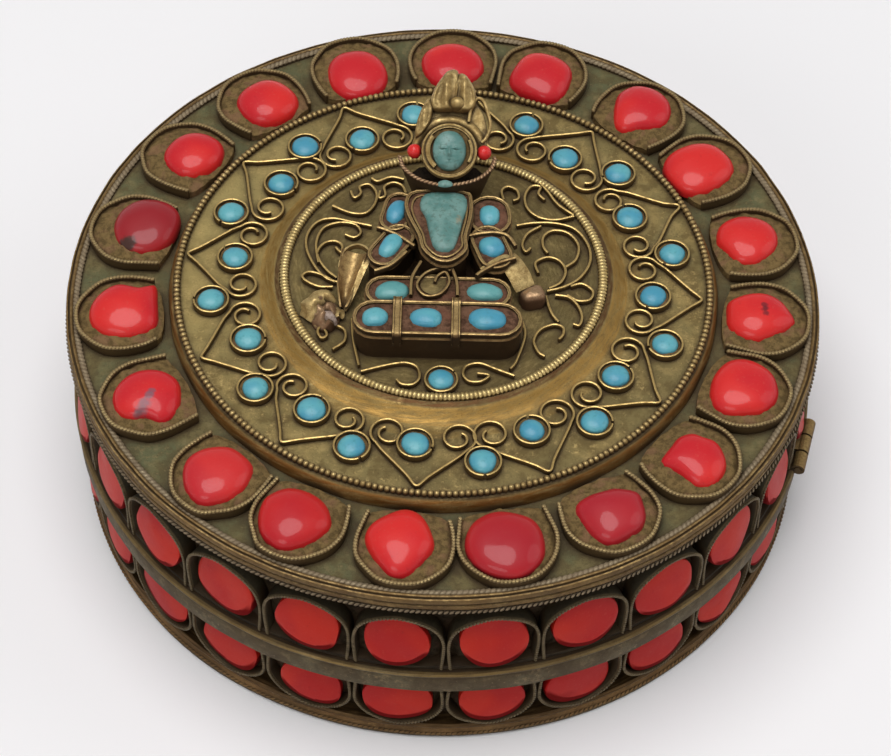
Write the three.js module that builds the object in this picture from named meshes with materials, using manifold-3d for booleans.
// A round brass trinket box with a hinged lid, set with coral and turquoise, and a seated figure on the lid.
// Millimetres, +Z up. The origin is the middle of the underside, and the figure's feet point to -Y.
import * as THREE from "three";
import { mergeVertices } from "three/addons/utils/BufferGeometryUtils.js";
import Module from "manifold-3d";

const wasm = await Module();
wasm.setup();

// Driving widths of the lid's zones, from the middle outwards
const BOSS_RADIUS = 26;
const VINE_ZONE_WIDTH = 13.4; // from the boss to the platform's edge
const STONE_ZONE_WIDTH = 13.6; // from the platform's edge to the rim strip

// Driving sizes of the box's shell
const FLOOR_SHEET = 0.9; // thickness of the floor plate
const LID_SHEET = 0.7; // thickness of the lid's wall and plates
const COLLAR_SHEET = 0.9; // the base's inner collar, which the lid slides over
const COLLAR_RISE = 3.6; // how far the collar stands above the seam
const LID_CLEARANCE = 0.3; // between collar and lid wall
const SEAM_GAP = 0.1; // between the closed lid's edge and the band
const FACETS = 36; // facets round every ring

// Driving heights, from the floor up
const FOOT_HEIGHT = 2.1; // binding strip on the floor plate
const LOWER_ROW_HEIGHT = 10.1;
const BAND_HEIGHT = 4.3;
const EDGE_HEIGHT = 0.7; // the lid's out-turned lower edge
const UPPER_ROW_HEIGHT = 13.2;
const ROW_TO_PLATE = 2.1; // wall left plain above the upper row
const RIM_ABOVE_PLATE = 0.7;
const RIM_HEIGHT = 3;

// Driving reaches outside the wall that the side stones lie on
const FOOT_REACH = 3.3;
const FLOOR_INSET = 0.2; // the floor plate's edge inside the foot strip
const BAND_REACH = 3.9;
const EDGE_REACH = 3.3;
const RIM_REACH = 3.4;
const RIM_THICKNESS = 1;

// Side stones and their arched settings
const SIDE_COUNT = 26;
const SIDE_PHASE = 264.7; // degrees, the stone nearest the front
const BED_THICKNESS = 0.6; // bed of paste that joins a row of stones
const SETTING_REACH = 2.6; // depth of an arched strip
const SETTING_STRIP = 0.6;
const SETTING_BITE = 0.12; // overlap of neighbouring arches at the wall
const ARCH_RISE = 5.2; // height of the arch over its straight legs
const PASTE_GAP = 1; // between a stone and its strip, sideways
const SIDE_STONE_HEIGHT = 8.4;
const LOWER_STONE_PLACE = 5.3; // a lower stone's middle over its row's lower edge
const UPPER_STONE_PLACE = 6.2;
const STONE_PROUD = 0.3; // how far a side stone stands past its strip

// Stones set in the lid's outer ring
const TOP_COUNT = 19;
const TOP_PHASE = 11.5; // degrees, the first stone after +X
// Each setting's turn from even spacing, in degrees, as the maker laid them by hand
const TOP_TURNS = [0, 1, 0.5, 2.5, 1.5, 1.5, 2.5, 3.5, 5, 6, 7, 9.5, 6.5, 6, 4.5, 4, 3.5, 2.5, 0.5];
const TOP_STONE_WIDTH = 10;
const TOP_STONE_INNER_GAP = 0.3; // between a stone and the wire at the platform's foot
const TOP_STONE_OUTER_GAP = 2; // paste between a stone and the bend of its strip
const TOP_STONE_WANDER = 0.5; // how much one stone's size differs from the next
const TOP_STONE_HEIGHT = 2.6;
const TOP_SETTING_HEIGHT = 1.8;
const TOP_SETTING_EDGE_GAP = 0.5; // between a setting's outermost point and the rim strip
const TOP_SETTING_HALF = 6.3; // half the width of a setting over its bend
const TOP_LEG_HALF = 5.3; // half its width where its legs end
const FOOT_WIRE = 0.8; // wire at the platform's foot that the settings' legs meet
const FOOT_WIRE_HEIGHT = 0.7;

// The raised platform and the boss on it
const PLATFORM_RISE = 2.2;
const PLATFORM_SHEET = 0.8;
const BOSS_RISE = 1.5;
const BOSS_SLOPE = 2.4; // width of the boss's moulded shoulder
const CREST_HEIGHT = 0.4;
const CREST_WIDTH = 0.6;
const PLATFORM_ROPE_INSET = 1.3; // from the platform's edge to the middle of its wire
const ROPE = 0.8; // width and height of the twisted and beaded wires
const BOSS_ROPE_INSET = 0.1; // between the boss's wire and its crest

// Turquoises and bent wires on the platform
const VINE_COUNT = 12;
const VINE_PHASE = 24.5;
const INNER_STONE_INSET = 9.4; // from the platform's edge
const OUTER_STONE_INSET = 6.2;
const TURQUOISE_RADIUS = 1.95;
const TURQUOISE_RISE = 1.4;
const BED_DEPTH = 0.4; // groove in the platform for the bed that joins the stones
const BED_MARGIN = 2; // groove left beyond the stones' centres on both sides
const VINE_WIRE = 0.6;
const VINE_HEIGHT = 0.8;
const VINE_LEG_REACH = 6.6; // the leg's end, sideways from the vine's middle
const VINE_LEG_DEPTH = 6.7; // the leg's end, inwards from its point
const CURL_RADIUS = 2.2;
const CURL_FROM = 85; // degrees round the curl where the leg runs into it
const CURL_TO = 300;
const CURL_SIDEWAYS = 4.6; // the curl's centre, sideways from the vine's middle
const CURL_INWARDS = 1.5; // the curl's centre, inwards from the inner stone's

// The hinge
const HINGE_AZIMUTH = 345.5;
const HINGE_AXIS_OUT = 0.2; // from the band's outside to the pin's axis
const BARREL_RADIUS = 1;
const PIN_RADIUS = 0.5;
const PIN_CLEARANCE = 0.1;
const KNUCKLE_LENGTH = 2.8;
const KNUCKLE_GAP = 0.3;
const LEAF_THICKNESS = 0.5;
const LEAF_DEPTH = 2.8; // from the axis inwards
const HINGE_GAP = 0.3; // between the leaves and the notches they lie in

// The seated figure
const CASE_GAP = 0.3; // between neighbouring cases
const FRONT_CASE = { x: -0.7, y: -12.75, length: 23.2, width: 5.7, height: 5.4 };
const REAR_CASE = { x: -0.7, length: 20.2, width: 5.1, height: 4.4 };
// Stones on the two long cases, each one inset from the case's end or from its middle
const FRONT_STONE_LEFT = { inset: 3, length: 3.4, width: 2.9 };
const FRONT_STONE_MIDDLE = { inset: 1.5, length: 4.3, width: 3.3 };
const FRONT_STONE_RIGHT = { inset: 4.7, length: 5.3, width: 3.5 };
const REAR_STONE_LEFT = { inset: 3.5, length: 4.4, width: 3 };
const REAR_STONE_RIGHT = { inset: 3.4, length: 4.8, width: 2.9 };
const STRAP_WIDTH = 1.3;
const STRAP_THICKNESS = 0.35;
const STRAP_DROP = 2.4;
const STRAP_INSET_LEFT = 6; // from the front case's ends to the straps' middles
const STRAP_INSET_RIGHT = 8.9;
const TORSO_HEIGHT = 6.6;
const ARM_HEIGHT = 5.2;
const COLLAR_STRIP = 0.5;
const COLLAR_STRIP_HEIGHT = 8.4;
const FIGURE_STONE_RISE = 1.2;
const HEAD_PLACE = { x: 0.4, y: 14.2, rise: 10.6 };
const HEAD_TILT = 33; // degrees that the face leans back from lying flat
const HEAD_RADIUS = 3.75;
const HEAD_DEPTH = 2.6;
const NECK_RADIUS = 2;
const FACE_HALF_WIDTH = 2.4;
const FACE_HALF_LENGTH = 2.9;
const FACE_RISE = 1;
const EAR_BEAD_RADIUS = 1.05;
const CROWN_THICKNESS = 1;
const RIBBON_WIDTH = 3.2;
const RIBBON_THICKNESS = 0.6;
const RIBBON_BELOW_ARM = 1; // from the arm case's top to the ribbon's bend
const RIBBON_DROP = 0.8; // how far a ribbon's end lies below its bend
const RIBBON_LEFT = { fromX: -12.4, fromY: 1, endGap: 2.8 }; // endGap is to the beaded wire's inside
const RIBBON_RIGHT = { fromX: 11.4, fromY: -1.4, endGap: 4.3 };
const RIBBON_END_LEFT = 206.6; // degrees round the disc
const RIBBON_END_RIGHT = 330.2;
const SCROLL_WIRE = 0.6;
const SCROLL_HEIGHT = 0.9;
const FOOT_SCROLL_FAR = [[10.8, -17.6], [5.4, -17]]; // right side, from the case's corner to the cup
const FOOT_SCROLL_NEAR = [[4.6, -20.4], [5.9, -19.6]];
const FOOT_SCROLL_TOUCH = 0.8; // where the scroll meets the cup, behind the cup's middle
const ARM_SCROLL_START = [[9.4, 10.4], [14, 10.6], [18, 9.4]]; // right side, from the shoulder outwards
const ARM_SCROLL_END = [[20.2, 0.6], [17, -1.6]];
const ARM_SCROLL_WIDEST = 4.2; // the place in Y where it touches the beaded wire
const FOOT_CUP_RADIUS = 2.4;
const CUP_WALL = 0.5;
const CUP_HEIGHT = 1;
const CUP_GAP = 0.2; // between the foot's stone and its cup

// Outlines in the figure's own frame, from its middle on the disc
const TORSO_OUTLINE = [
  [-3.6, 1.5],
  [-3, -1],
  [-1, -3.1],
  [1.2, -3.1],
  [3.1, -1],
  [3, 1.4],
  [3.7, 5.3],
  [3.7, 8.6],
  [2.6, 10],
  [-4.1, 10],
  [-5.6, 8],
  [-5.2, 5.3],
];
const TORSO_STONE_OUTLINE = [
  [-2.6, 4.6],
  [-2.1, 1.4],
  [-1.1, -0.9],
  [0.9, -1.1],
  [1.9, 1.2],
  [2.5, 4.4],
  [2.7, 7.2],
  [1.4, 8.4],
  [-2.2, 8.4],
  [-3.1, 7],
];
const COLLAR_PATH = [
  [7.2, 16.8],
  [6.7, 13.4],
  [4.7, 10.6],
  [0.3, 9.2],
  [-4.1, 10.6],
  [-6.2, 13.4],
  [-6.6, 16.5],
];
// Arm cases: middle, length, width and turn, and the length and width of each one's stone
const UPPER_ARM_LEFT = { x: -6.9, y: 7.2, length: 7.2, width: 4, stoneLength: 3.4, stoneWidth: 2.2 };
const UPPER_ARM_RIGHT = { x: 6.4, y: 6.9, length: 7.2, width: 5.8, stoneLength: 3.6, stoneWidth: 2.3 };
const FOREARM_LEFT = { x: -7.5, y: 0.8, length: 8.2, width: 4.2, stoneLength: 4.2, stoneWidth: 2.5 };
const FOREARM_RIGHT = { x: 6.7, y: 0.8, length: 8, width: 4.6, stoneLength: 3.3, stoneWidth: 2.9 };
const ARM_TURNS = [78, 96, 58, 110]; // degrees from +X, in the same order
// The crown's sheet over the head's rim
const CROWN_OUTLINE = [
  [-3, 0],
  [4, 0],
  [4.4, 2.4],
  [3.6, 5.2],
  [2.6, 4.6],
  [1.6, 6.6],
  [0.6, 7.4],
  [-0.6, 6],
  [-1.2, 4.4],
  [-2.2, 4.6],
  [-3.2, 2.2],
];

// Heights and radii worked out from them
const FLOOR_TOP = FLOOR_SHEET;
const LOWER_ROW_Z = FLOOR_TOP + FOOT_HEIGHT;
const BAND_Z = LOWER_ROW_Z + LOWER_ROW_HEIGHT;
const SEAM_Z = BAND_Z + BAND_HEIGHT;
const LID_Z = SEAM_Z + SEAM_GAP;
const UPPER_ROW_Z = LID_Z + EDGE_HEIGHT;
const PLATE_Z = UPPER_ROW_Z + UPPER_ROW_HEIGHT + ROW_TO_PLATE;
const PLATE_TOP = PLATE_Z + LID_SHEET;
const RIM_TOP = PLATE_TOP + RIM_ABOVE_PLATE;
const PLATFORM_TOP = PLATE_TOP + PLATFORM_RISE;
const DISC_TOP = PLATFORM_TOP + BOSS_RISE;
const PLATFORM_RADIUS = BOSS_RADIUS + VINE_ZONE_WIDTH;
const PLATFORM_ROPE_RING = PLATFORM_RADIUS - PLATFORM_ROPE_INSET;
const INNER_STONE_RING = PLATFORM_RADIUS - INNER_STONE_INSET;
const OUTER_STONE_RING = PLATFORM_RADIUS - OUTER_STONE_INSET;
const RIM_INNER = PLATFORM_RADIUS + STONE_ZONE_WIDTH;
const WALL_RADIUS = RIM_INNER + RIM_THICKNESS - RIM_REACH; // outside of the wall behind the side stones
const COLLAR_OUTER = WALL_RADIUS - LID_SHEET - LID_CLEARANCE;
const BED_RADIUS = WALL_RADIUS + BED_THICKNESS;
const AXIS_RADIUS = WALL_RADIUS + BAND_REACH + HINGE_AXIS_OUT;
const CREST_OUTER = BOSS_RADIUS - BOSS_SLOPE;
const BOSS_ROPE_OUTER = CREST_OUTER - CREST_WIDTH - BOSS_ROPE_INSET;

// Finishes
function finish(color, roughness, metalness) {
  return new THREE.MeshStandardMaterial({ color, roughness, metalness });
}
const AGED_BRASS = finish(0x7b6f4a, 0.55, 0.9);
const GREEN_BRASS = finish(0x6f6f4c, 0.65, 0.8);
const GOLD_BRASS = finish(0x9c8248, 0.45, 0.95);
const CORAL = finish(0xb51c22, 0.25, 0);
const TURQUOISE = finish(0x4f9db4, 0.35, 0);

const box = new THREE.Group();
const radians = THREE.MathUtils.degToRad;

// Adds one named piece to a group
function piece(name, geometry, material, group = box) {
  const mesh = new THREE.Mesh(geometry, material);
  mesh.name = name;
  group.add(mesh);
  return mesh;
}

// A closed solid for joining and cutting
function solid(geometry) {
  const bare = geometry.clone();
  bare.deleteAttribute("normal");
  bare.deleteAttribute("uv");
  const merged = mergeVertices(bare, 1e-4);
  const vertProperties = new Float32Array(merged.attributes.position.array);
  const triVerts = new Uint32Array(merged.index.array);
  return new wasm.Manifold(new wasm.Mesh({ numProp: 3, vertProperties, triVerts }));
}

function geometryOf(made) {
  const mesh = made.getMesh();
  const geometry = new THREE.BufferGeometry();
  geometry.setAttribute("position", new THREE.BufferAttribute(mesh.vertProperties, 3));
  geometry.setIndex(new THREE.BufferAttribute(mesh.triVerts, 1));
  return geometry;
}

function join(geometries) {
  return geometryOf(geometries.map(solid).reduce((all, next) => all.add(next)));
}

function cut(geometry, tools) {
  return geometryOf(tools.map(solid).reduce((left, tool) => left.subtract(tool), solid(geometry)));
}

// A turned piece from [radius, height] pairs, in order round its section, seen with +Z up
function turned(section, facets = FACETS) {
  const points = section.map(([radius, height]) => new THREE.Vector2(radius, height));
  if (section[0][0] > 0) points.push(points[0].clone());
  return new THREE.LatheGeometry(points, facets).rotateX(Math.PI / 2);
}

const ring = (inner, outer, low, high) => turned([[inner, low], [outer, low], [outer, high], [inner, high]]);

// A flat piece of the given outline, from low to high
function slab(outline, low, high) {
  const shape = new THREE.Shape(outline.map(([x, y]) => new THREE.Vector2(x, y)));
  return new THREE.ExtrudeGeometry(shape, { depth: high - low, bevelEnabled: false }).translate(0, 0, low);
}

// The outline of a strip of even width that follows an open path
function stripOutline(path, width) {
  const sides = [[], []];
  path.forEach(([x, y], i) => {
    const before = path[Math.max(i - 1, 0)];
    const after = path[Math.min(i + 1, path.length - 1)];
    const arrive = new THREE.Vector2(x - before[0], y - before[1]).normalize();
    const leave = new THREE.Vector2(after[0] - x, after[1] - y).normalize();
    const along = arrive.clone().add(leave).normalize();
    const straight = Math.max(along.dot(arrive.length() > 0 ? arrive : leave), 0.5);
    const half = width / 2 / straight;
    sides[0].push([x + along.y * half, y - along.x * half]);
    sides[1].unshift([x - along.y * half, y + along.x * half]);
  });
  return sides.flat();
}

// Points on part of an ellipse, from one angle to another in degrees
function arc(x, y, halfWidth, halfHeight, from, to, steps) {
  return Array.from({ length: steps + 1 }, (_, i) => {
    const angle = radians(from + ((to - from) * i) / steps);
    return [x + halfWidth * Math.cos(angle), y + halfHeight * Math.sin(angle)];
  });
}

// A flat bar with round ends, its length along X
function roundBar(length, width, steps = 4) {
  const reach = (length - width) / 2;
  const right = arc(reach, 0, width / 2, width / 2, -90, 90, steps);
  return [...right, ...arc(-reach, 0, width / 2, width / 2, 90, 270, steps)];
}

// A domed stone with its flat back at z = 0
function dome(halfWidth, halfLength, rise, sides = 8) {
  const section = [[0, 0], [1, 0], [0.94, 0.45], [0.6, 0.85], [0, 1]];
  return turned(section, sides).scale(halfWidth, halfLength, rise);
}

// The same with one bevel fewer, for the small stones and the side rows
function pebble(halfWidth, halfLength, rise) {
  return turned([[0, 0], [1, 0], [0.8, 0.7], [0, 1]], 8).scale(halfWidth, halfLength, rise);
}

// A cup: an open ring with few facets, standing on z = 0
function cup(outer, wall, height, turn = 0) {
  const inner = outer - wall;
  return turned([[inner, 0], [outer, 0], [outer, height], [inner, height]], 8).rotateZ(turn);
}

// Places a shape drawn flat at an angle and radius on the lid, its +X outwards
function onLid(geometry, azimuth, radius, z) {
  return geometry.translate(radius, 0, 0).rotateZ(radians(azimuth)).translate(0, 0, z);
}

// Stands a shape drawn flat against the wall: its X runs round the box, its Y up and its Z outwards
function onWall(geometry, azimuth, radius, z) {
  const angle = radians(azimuth);
  const outwards = new THREE.Vector3(Math.cos(angle), Math.sin(angle), 0);
  const upwards = new THREE.Vector3(0, 0, 1);
  const sideways = new THREE.Vector3().crossVectors(upwards, outwards);
  const place = new THREE.Matrix4().makeBasis(sideways, upwards, outwards);
  place.setPosition(outwards.clone().multiplyScalar(radius).setZ(z));
  return geometry.applyMatrix4(place);
}

// One row of side stones on their bed, and the arcade of strips round them
function sideRow(prefix, low, height, stonePlace, opensUp) {
  const top = low + height;
  const halfPitch = Math.PI / SIDE_COUNT;
  const half = BED_RADIUS * Math.tan(halfPitch) + SETTING_BITE;
  const innerHalf = half - SETTING_STRIP;
  const innerRise = ARCH_RISE - SETTING_STRIP;
  const bend = height - ARCH_RISE;
  const arch = [
    ...arc(0, bend, half, ARCH_RISE, 0, 180, 4),
    [-half, 0],
    [-innerHalf, 0],
    ...arc(0, bend, innerHalf, innerRise, 180, 0, 4),
    [innerHalf, 0],
    [half, 0],
  ];
  const stoneHalfWidth = innerHalf - PASTE_GAP;
  const backing = BED_THICKNESS / 2;
  const strips = [];
  const stones = [ring(WALL_RADIUS, BED_RADIUS, low, top)];
  for (let i = 0; i < SIDE_COUNT; i += 1) {
    const azimuth = SIDE_PHASE + (360 / SIDE_COUNT) * i;
    const strip = slab(arch, 0, SETTING_REACH);
    if (opensUp) strip.rotateZ(Math.PI).translate(0, height, 0);
    strips.push(onWall(strip, azimuth, BED_RADIUS, low));
    const rise = backing + SETTING_REACH + STONE_PROUD;
    const stone = pebble(stoneHalfWidth, SIDE_STONE_HEIGHT / 2, rise);
    stones.push(onWall(stone, azimuth, BED_RADIUS - backing, low + stonePlace));
  }
  piece(prefix + "_bezels", join(strips), AGED_BRASS);
  piece(prefix + "_corals", join(stones), CORAL);
}

// The hinge's shapes are drawn in its own frame: X outwards, Y along the pin, Z up, the axis at 0
const SPAN = KNUCKLE_LENGTH * 3 + KNUCKLE_GAP * 2;

function bar(x0, x1, y0, y1, z0, z1) {
  const block = new THREE.BoxGeometry(x1 - x0, y1 - y0, z1 - z0);
  return block.translate((x0 + x1) / 2, (y0 + y1) / 2, (z0 + z1) / 2);
}

function rod(radius, low, high) {
  return new THREE.CylinderGeometry(radius, radius, high - low, 16).translate(0, (low + high) / 2, 0);
}

// One leaf: the knuckles that start at the given places, with a tab from each to a plate behind
function hingeLeaf(starts, plateLow, plateHigh) {
  const shapes = [bar(-LEAF_DEPTH, -BARREL_RADIUS - HINGE_GAP, -SPAN / 2, SPAN / 2, plateLow, plateHigh)];
  for (const start of starts) {
    const end = start + KNUCKLE_LENGTH;
    shapes.push(rod(BARREL_RADIUS, start, end));
    shapes.push(bar(-LEAF_DEPTH, 0, start, end, plateLow, plateHigh));
  }
  return cut(join(shapes), [rod(PIN_RADIUS + PIN_CLEARANCE, -SPAN, SPAN)]);
}

// The room that a leaf needs in the band or in the lid's edge
function hingeNotch(low, high) {
  const reach = SPAN / 2 + HINGE_GAP;
  const notch = bar(-LEAF_DEPTH - HINGE_GAP, BARREL_RADIUS * 2, -reach, reach, low, high);
  return notch.rotateZ(hingeAngle).translate(hingeX, hingeY, SEAM_Z);
}

const hingeAngle = radians(HINGE_AZIMUTH);
const hingeX = AXIS_RADIUS * Math.cos(hingeAngle);
const hingeY = AXIS_RADIUS * Math.sin(hingeAngle);
const BASE_LEAF_HIGH = -HINGE_GAP / 2;
const BASE_LEAF_LOW = BASE_LEAF_HIGH - LEAF_THICKNESS;
const LID_LEAF_LOW = SEAM_GAP + HINGE_GAP / 2;
const LID_LEAF_HIGH = LID_LEAF_LOW + LEAF_THICKNESS;

// The base: floor, wall with the lid's collar, foot strip and band
const FOOT_OUTER = WALL_RADIUS + FOOT_REACH;
const FLOOR_RADIUS = FOOT_OUTER - FLOOR_INSET;
const floorSection = [[0, 0], [FLOOR_RADIUS, 0], [FLOOR_RADIUS, FLOOR_TOP], [0, FLOOR_TOP]];
piece("base_floor", turned(floorSection), AGED_BRASS);
const baseWallSection = [
  [COLLAR_OUTER - COLLAR_SHEET, FLOOR_TOP],
  [WALL_RADIUS, FLOOR_TOP],
  [WALL_RADIUS, SEAM_Z],
  [COLLAR_OUTER, SEAM_Z],
  [COLLAR_OUTER, SEAM_Z + COLLAR_RISE],
  [COLLAR_OUTER - COLLAR_SHEET, SEAM_Z + COLLAR_RISE],
];
piece("base_wall", turned(baseWallSection), AGED_BRASS);
piece("base_foot_strip", ring(WALL_RADIUS, FOOT_OUTER, FLOOR_TOP, LOWER_ROW_Z), AGED_BRASS);
const bandNotch = hingeNotch(BASE_LEAF_LOW - HINGE_GAP, BARREL_RADIUS * 2);
piece("base_band", cut(ring(WALL_RADIUS, WALL_RADIUS + BAND_REACH, BAND_Z, SEAM_Z), [bandNotch]), AGED_BRASS);
sideRow("base", LOWER_ROW_Z, LOWER_ROW_HEIGHT, LOWER_STONE_PLACE, true);

// The lid's shell: wall with its out-turned edge, top plate and rim strip
const lidWallSection = [
  [WALL_RADIUS - LID_SHEET, LID_Z],
  [WALL_RADIUS + EDGE_REACH, LID_Z],
  [WALL_RADIUS + EDGE_REACH, UPPER_ROW_Z],
  [WALL_RADIUS, UPPER_ROW_Z],
  [WALL_RADIUS, PLATE_Z],
  [WALL_RADIUS - LID_SHEET, PLATE_Z],
];
const edgeNotch = hingeNotch(-BARREL_RADIUS * 2, LID_LEAF_HIGH + HINGE_GAP / 2);
piece("lid_wall", cut(turned(lidWallSection), [edgeNotch]), AGED_BRASS);
const plateSection = [[0, PLATE_Z], [RIM_INNER, PLATE_Z], [RIM_INNER, PLATE_TOP], [0, PLATE_TOP]];
piece("lid_top_plate", turned(plateSection), GREEN_BRASS);
piece("lid_rim_strip", ring(RIM_INNER, RIM_INNER + RIM_THICKNESS, RIM_TOP - RIM_HEIGHT, RIM_TOP), AGED_BRASS);
sideRow("lid_side", UPPER_ROW_Z, UPPER_ROW_HEIGHT, UPPER_STONE_PLACE, false);

// The hinge between them
const hinge = new THREE.Group();
hinge.position.set(hingeX, hingeY, SEAM_Z);
hinge.rotation.z = hingeAngle;
box.add(hinge);
const lastStart = SPAN / 2 - KNUCKLE_LENGTH;
piece("hinge_leaf_base", hingeLeaf([-SPAN / 2, lastStart], BASE_LEAF_LOW, BASE_LEAF_HIGH), AGED_BRASS, hinge);
piece("hinge_leaf_lid", hingeLeaf([-KNUCKLE_LENGTH / 2], LID_LEAF_LOW, LID_LEAF_HIGH), AGED_BRASS, hinge);
piece("hinge_pin", rod(PIN_RADIUS, -SPAN / 2 - PIN_CLEARANCE, SPAN / 2 + PIN_CLEARANCE), AGED_BRASS, hinge);

// The platform with its boss, pressed from one sheet
const innerUnderside = CREST_OUTER - CREST_WIDTH;
const bedInner = INNER_STONE_RING - BED_MARGIN;
const bedOuter = OUTER_STONE_RING + BED_MARGIN;
const platformSection = [
  [0, DISC_TOP - PLATFORM_SHEET],
  [innerUnderside, DISC_TOP - PLATFORM_SHEET],
  [BOSS_RADIUS - PLATFORM_SHEET, PLATFORM_TOP - PLATFORM_SHEET],
  [PLATFORM_RADIUS - PLATFORM_SHEET, PLATFORM_TOP - PLATFORM_SHEET],
  [PLATFORM_RADIUS - PLATFORM_SHEET, PLATE_TOP],
  [PLATFORM_RADIUS, PLATE_TOP],
  [PLATFORM_RADIUS, PLATFORM_TOP],
  [bedOuter, PLATFORM_TOP],
  [bedOuter, PLATFORM_TOP - BED_DEPTH],
  [bedInner, PLATFORM_TOP - BED_DEPTH],
  [bedInner, PLATFORM_TOP],
  [BOSS_RADIUS, PLATFORM_TOP],
  [CREST_OUTER, DISC_TOP + CREST_HEIGHT],
  [CREST_OUTER - CREST_WIDTH, DISC_TOP],
  [0, DISC_TOP],
];
piece("platform_plate", turned(platformSection), GOLD_BRASS);

// Stones of the outer ring, each in its own U-shaped strip
const settingReach = RIM_INNER - TOP_SETTING_EDGE_GAP;
const bendRadius = settingReach - TOP_SETTING_HALF;
const stoneInner = PLATFORM_RADIUS + CASE_GAP + FOOT_WIRE + TOP_STONE_INNER_GAP;
const stoneOuter = settingReach - SETTING_STRIP / 2 - TOP_STONE_OUTER_GAP;
const stoneRing = (stoneInner + stoneOuter) / 2;
const footInner = PLATFORM_RADIUS + CASE_GAP;
const footMiddle = footInner + FOOT_WIRE / 2;
const legEnd = Math.sqrt(footMiddle ** 2 - TOP_LEG_HALF ** 2);
const legPath = [
  [legEnd, TOP_LEG_HALF],
  ...arc(bendRadius, 0, TOP_SETTING_HALF, TOP_SETTING_HALF, 90, -90, 6),
  [legEnd, -TOP_LEG_HALF],
];
const topStrips = [ring(footInner, footInner + FOOT_WIRE, PLATE_TOP, PLATE_TOP + FOOT_WIRE_HEIGHT)];
const topAzimuth = (i) => TOP_PHASE + (360 / TOP_COUNT) * i + (TOP_TURNS[i] ?? 0);
for (let i = 0; i < TOP_COUNT; i += 1) {
  const strip = slab(stripOutline(legPath, SETTING_STRIP), 0, TOP_SETTING_HEIGHT);
  topStrips.push(onLid(strip, topAzimuth(i), 0, PLATE_TOP));
  const wander = Math.sin(i * 2.4) * TOP_STONE_WANDER;
  const halfLength = (stoneOuter - stoneInner - wander) / 2;
  const stone = dome(halfLength, (TOP_STONE_WIDTH + wander) / 2, TOP_STONE_HEIGHT);
  const mesh = piece("top_coral_" + String(i + 1).padStart(2, "0"), stone, CORAL);
  const angle = radians(topAzimuth(i));
  mesh.position.set(stoneRing * Math.cos(angle), stoneRing * Math.sin(angle), PLATE_TOP);
  mesh.rotation.z = angle;
}
piece("top_bezels", join(topStrips), AGED_BRASS);

// Twisted wire and bent vines on the platform, soldered into one piece, and the turquoises among them
const vineTip = PLATFORM_ROPE_RING - ROPE / 2;
const halfVine = [
  [vineTip - VINE_LEG_DEPTH, VINE_LEG_REACH],
  ...arc(INNER_STONE_RING - CURL_INWARDS, CURL_SIDEWAYS, CURL_RADIUS, CURL_RADIUS, CURL_FROM, CURL_TO, 4),
];
const mirrored = halfVine.map(([x, y]) => [x, -y]);
const vinePath = [...halfVine.toReversed(), [vineTip, 0], ...mirrored];
const ropeOuter = PLATFORM_ROPE_RING + ROPE / 2;
const wirework = [ring(ropeOuter - ROPE, ropeOuter, PLATFORM_TOP, PLATFORM_TOP + ROPE)];
const turquoises = [ring(bedInner, bedOuter, PLATFORM_TOP - BED_DEPTH, PLATFORM_TOP)];
for (let i = 0; i < VINE_COUNT; i += 1) {
  const azimuth = VINE_PHASE + (360 / VINE_COUNT) * i;
  const between = azimuth + 180 / VINE_COUNT;
  const vine = slab(stripOutline(vinePath, VINE_WIRE), 0, VINE_HEIGHT);
  wirework.push(onLid(vine, azimuth, 0, PLATFORM_TOP));
  for (const [angle, radius] of [[azimuth, INNER_STONE_RING], [between, OUTER_STONE_RING]]) {
    const stone = pebble(TURQUOISE_RADIUS, TURQUOISE_RADIUS, TURQUOISE_RISE + BED_DEPTH / 2);
    turquoises.push(onLid(stone, angle, radius, PLATFORM_TOP - BED_DEPTH / 2));
  }
}
piece("platform_wirework", join(wirework), GOLD_BRASS);
piece("platform_turquoises", join(turquoises), TURQUOISE);

// Beaded wire, scrolls and the small cup on the boss's disc
const ropeInner = BOSS_ROPE_OUTER - ROPE;
const footCupY = -(ropeInner - FOOT_CUP_RADIUS + CUP_WALL / 2);
const discWires = [ring(ropeInner, BOSS_ROPE_OUTER, DISC_TOP, DISC_TOP + ROPE)];
discWires.push(cup(FOOT_CUP_RADIUS, CUP_WALL, CUP_HEIGHT, Math.PI / 8).translate(0, footCupY, DISC_TOP));
const footTouch = [FOOT_CUP_RADIUS, footCupY + FOOT_SCROLL_TOUCH];
const footScroll = [...FOOT_SCROLL_FAR, footTouch, ...FOOT_SCROLL_NEAR];
const armScroll = [...ARM_SCROLL_START, [ropeInner, ARM_SCROLL_WIDEST], ...ARM_SCROLL_END];
for (const side of [-1, 1]) {
  for (const path of [footScroll, armScroll]) {
    const turnedPath = path.map(([x, y]) => [x * side, y]);
    if (side < 0) turnedPath.reverse();
    discWires.push(slab(stripOutline(turnedPath, SCROLL_WIRE), DISC_TOP, DISC_TOP + SCROLL_HEIGHT));
  }
}
piece("disc_wirework", join(discWires), GOLD_BRASS);
const footStoneRadius = FOOT_CUP_RADIUS - CUP_WALL - CUP_GAP;
const footPebble = pebble(footStoneRadius, footStoneRadius, TURQUOISE_RISE);
const footStone = piece("foot_turquoise", footPebble, TURQUOISE);
footStone.position.set(0, footCupY, DISC_TOP);

// The figure stands on the disc: crossed legs in two long cases, torso, arms, collar, head and crown
const figure = new THREE.Group();
figure.position.z = DISC_TOP;
box.add(figure);

// A stone on top of a case, its long side turned by an angle in degrees
function figureStone(name, x, y, z, length, width, turn = 0) {
  const mesh = piece(name, pebble(length / 2, width / 2, FIGURE_STONE_RISE), TURQUOISE, figure);
  mesh.position.set(x, y, z);
  mesh.rotation.z = radians(turn);
}

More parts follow.
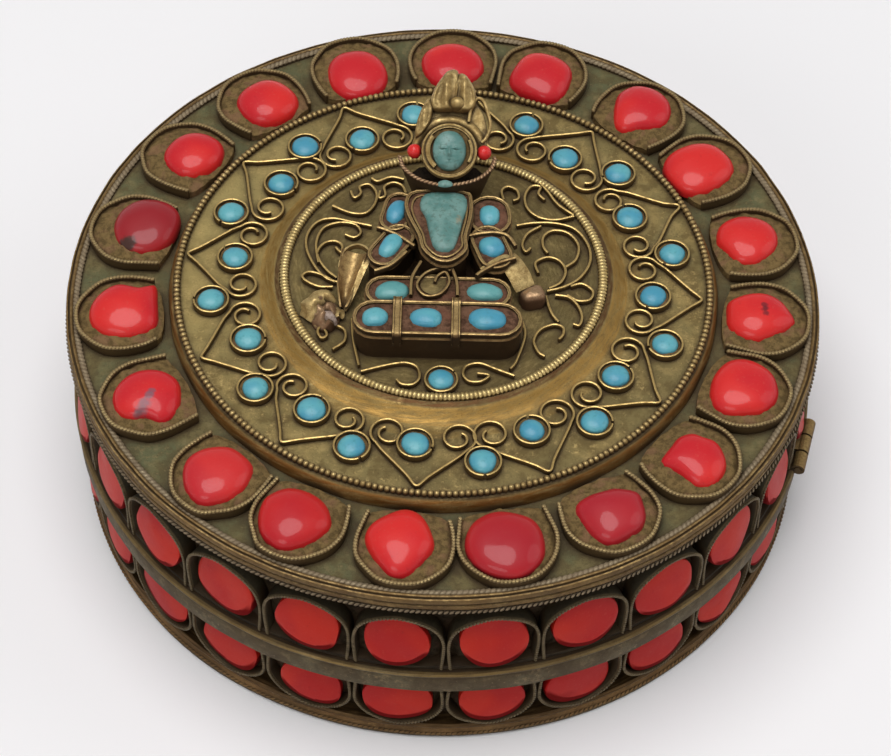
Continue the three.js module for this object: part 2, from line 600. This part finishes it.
// A stone on one of the long cases, at its left end (-1), middle (0) or right end (1)
function caseStone(name, body, y, end, stone) {
  const x = body.x + (end * body.length) / 2 - (end || 1) * stone.inset;
  figureStone(name, x, y, body.height, stone.length, stone.width);
}

const frontTop = FRONT_CASE.height;
const frontY = FRONT_CASE.y;
const frontBack = frontY + FRONT_CASE.width / 2;
const strapPlaces = [STRAP_INSET_LEFT - FRONT_CASE.length / 2, FRONT_CASE.length / 2 - STRAP_INSET_RIGHT];
const straps = strapPlaces.map((place) => {
  const x = FRONT_CASE.x + place;
  const front = frontY - FRONT_CASE.width / 2 - STRAP_THICKNESS;
  const top = frontTop + STRAP_THICKNESS;
  return bar(x - STRAP_WIDTH / 2, x + STRAP_WIDTH / 2, front, frontBack, frontTop - STRAP_DROP, top);
});
const frontBody = slab(roundBar(FRONT_CASE.length, FRONT_CASE.width), 0, frontTop);
frontBody.translate(FRONT_CASE.x, frontY, 0);
piece("front_case", join([frontBody, ...straps]), AGED_BRASS, figure);
caseStone("front_stone_left", FRONT_CASE, frontY, -1, FRONT_STONE_LEFT);
caseStone("front_stone_middle", FRONT_CASE, frontY, 0, FRONT_STONE_MIDDLE);
caseStone("front_stone_right", FRONT_CASE, frontY, 1, FRONT_STONE_RIGHT);

const rearY = frontBack + CASE_GAP + REAR_CASE.width / 2;
const rearBody = slab(roundBar(REAR_CASE.length, REAR_CASE.width), 0, REAR_CASE.height);
piece("rear_case", rearBody.translate(REAR_CASE.x, rearY, 0), AGED_BRASS, figure);
caseStone("rear_stone_left", REAR_CASE, rearY, -1, REAR_STONE_LEFT);
caseStone("rear_stone_right", REAR_CASE, rearY, 1, REAR_STONE_RIGHT);

// Torso, arms and the deep collar strip behind the shoulders
const torso = slab(TORSO_OUTLINE, 0, TORSO_HEIGHT);
const collar = slab(stripOutline(COLLAR_PATH, COLLAR_STRIP), 0, COLLAR_STRIP_HEIGHT);
const bodyShapes = [torso, collar];
const arms = {
  upper_arm_stone_left: UPPER_ARM_LEFT,
  upper_arm_stone_right: UPPER_ARM_RIGHT,
  forearm_stone_left: FOREARM_LEFT,
  forearm_stone_right: FOREARM_RIGHT,
};
Object.entries(arms).forEach(([name, arm], i) => {
  const shape = slab(roundBar(arm.length, arm.width, 3), 0, ARM_HEIGHT);
  bodyShapes.push(shape.rotateZ(radians(ARM_TURNS[i])).translate(arm.x, arm.y, 0));
  figureStone(name, arm.x, arm.y, ARM_HEIGHT, arm.stoneLength, arm.stoneWidth, ARM_TURNS[i]);
});
piece("body_case", join(bodyShapes), AGED_BRASS, figure);
const torsoStone = slab(TORSO_STONE_OUTLINE, TORSO_HEIGHT, TORSO_HEIGHT + FIGURE_STONE_RISE);
piece("torso_stone", torsoStone, TURQUOISE, figure);

// Ribbons of sheet that fall from the arms to the disc, drawn from the side and laid along a line
function ribbon(name, { fromX, fromY, endGap }, endAzimuth) {
  const toX = (ropeInner - endGap) * Math.cos(radians(endAzimuth));
  const toY = (ropeInner - endGap) * Math.sin(radians(endAzimuth));
  const run = Math.hypot(toX - fromX, toY - fromY);
  const lift = ARM_HEIGHT - RIBBON_BELOW_ARM;
  const path = [
    [0, lift - RIBBON_DROP],
    [run * 0.25, lift],
    [run * 0.6, lift * 0.7],
    [run, RIBBON_THICKNESS / 2],
  ];
  const side = slab(stripOutline(path, RIBBON_THICKNESS), -RIBBON_WIDTH / 2, RIBBON_WIDTH / 2);
  const mesh = piece(name, side.rotateX(Math.PI / 2), GOLD_BRASS, figure);
  mesh.position.set(fromX, fromY, RIBBON_THICKNESS / 2);
  mesh.rotation.z = Math.atan2(toY - fromY, toX - fromX);
}
ribbon("ribbon_left", RIBBON_LEFT, RIBBON_END_LEFT);
ribbon("ribbon_right", RIBBON_RIGHT, RIBBON_END_RIGHT);

// Head, tilted to look up and forwards, with the face stone, ear beads and crown in its own frame
const head = new THREE.Group();
head.position.set(HEAD_PLACE.x, HEAD_PLACE.y, HEAD_PLACE.rise);
head.rotation.x = radians(HEAD_TILT);
figure.add(head);
// The neck stands upright on the disc behind the face, so it is turned back out of the head's frame
const neck = new THREE.CylinderGeometry(NECK_RADIUS, NECK_RADIUS, HEAD_PLACE.rise, 10).rotateX(Math.PI / 2);
neck.translate(0, HEAD_DEPTH / 2, -HEAD_PLACE.rise / 2).rotateX(-radians(HEAD_TILT));
const headCup = new THREE.CylinderGeometry(HEAD_RADIUS, HEAD_RADIUS, HEAD_DEPTH, 16).rotateX(Math.PI / 2);
headCup.translate(0, 0, -HEAD_DEPTH / 2);
const aboveFace = bar(-HEAD_RADIUS, HEAD_RADIUS, -HEAD_RADIUS * 2, HEAD_RADIUS * 2, 0, HEAD_RADIUS * 2);
piece("head_case", cut(join([headCup, neck]), [aboveFace]), AGED_BRASS, head);
piece("face_stone", dome(FACE_HALF_WIDTH, FACE_HALF_LENGTH, FACE_RISE, 12), TURQUOISE, head);
const beadPlace = HEAD_RADIUS + CASE_GAP + EAR_BEAD_RADIUS;
for (const [name, side] of [["ear_bead_left", -1], ["ear_bead_right", 1]]) {
  const bead = piece(name, new THREE.SphereGeometry(EAR_BEAD_RADIUS, 8, 6), CORAL, head);
  bead.position.set(side * beadPlace, 0, -EAR_BEAD_RADIUS);
}
const crownFoot = HEAD_RADIUS + CASE_GAP;
const crownOutline = CROWN_OUTLINE.map(([x, y]) => [x, y + crownFoot]);
piece("crown", slab(crownOutline, -CROWN_THICKNESS * 1.5, -CROWN_THICKNESS / 2), GOLD_BRASS, head);

export default box;
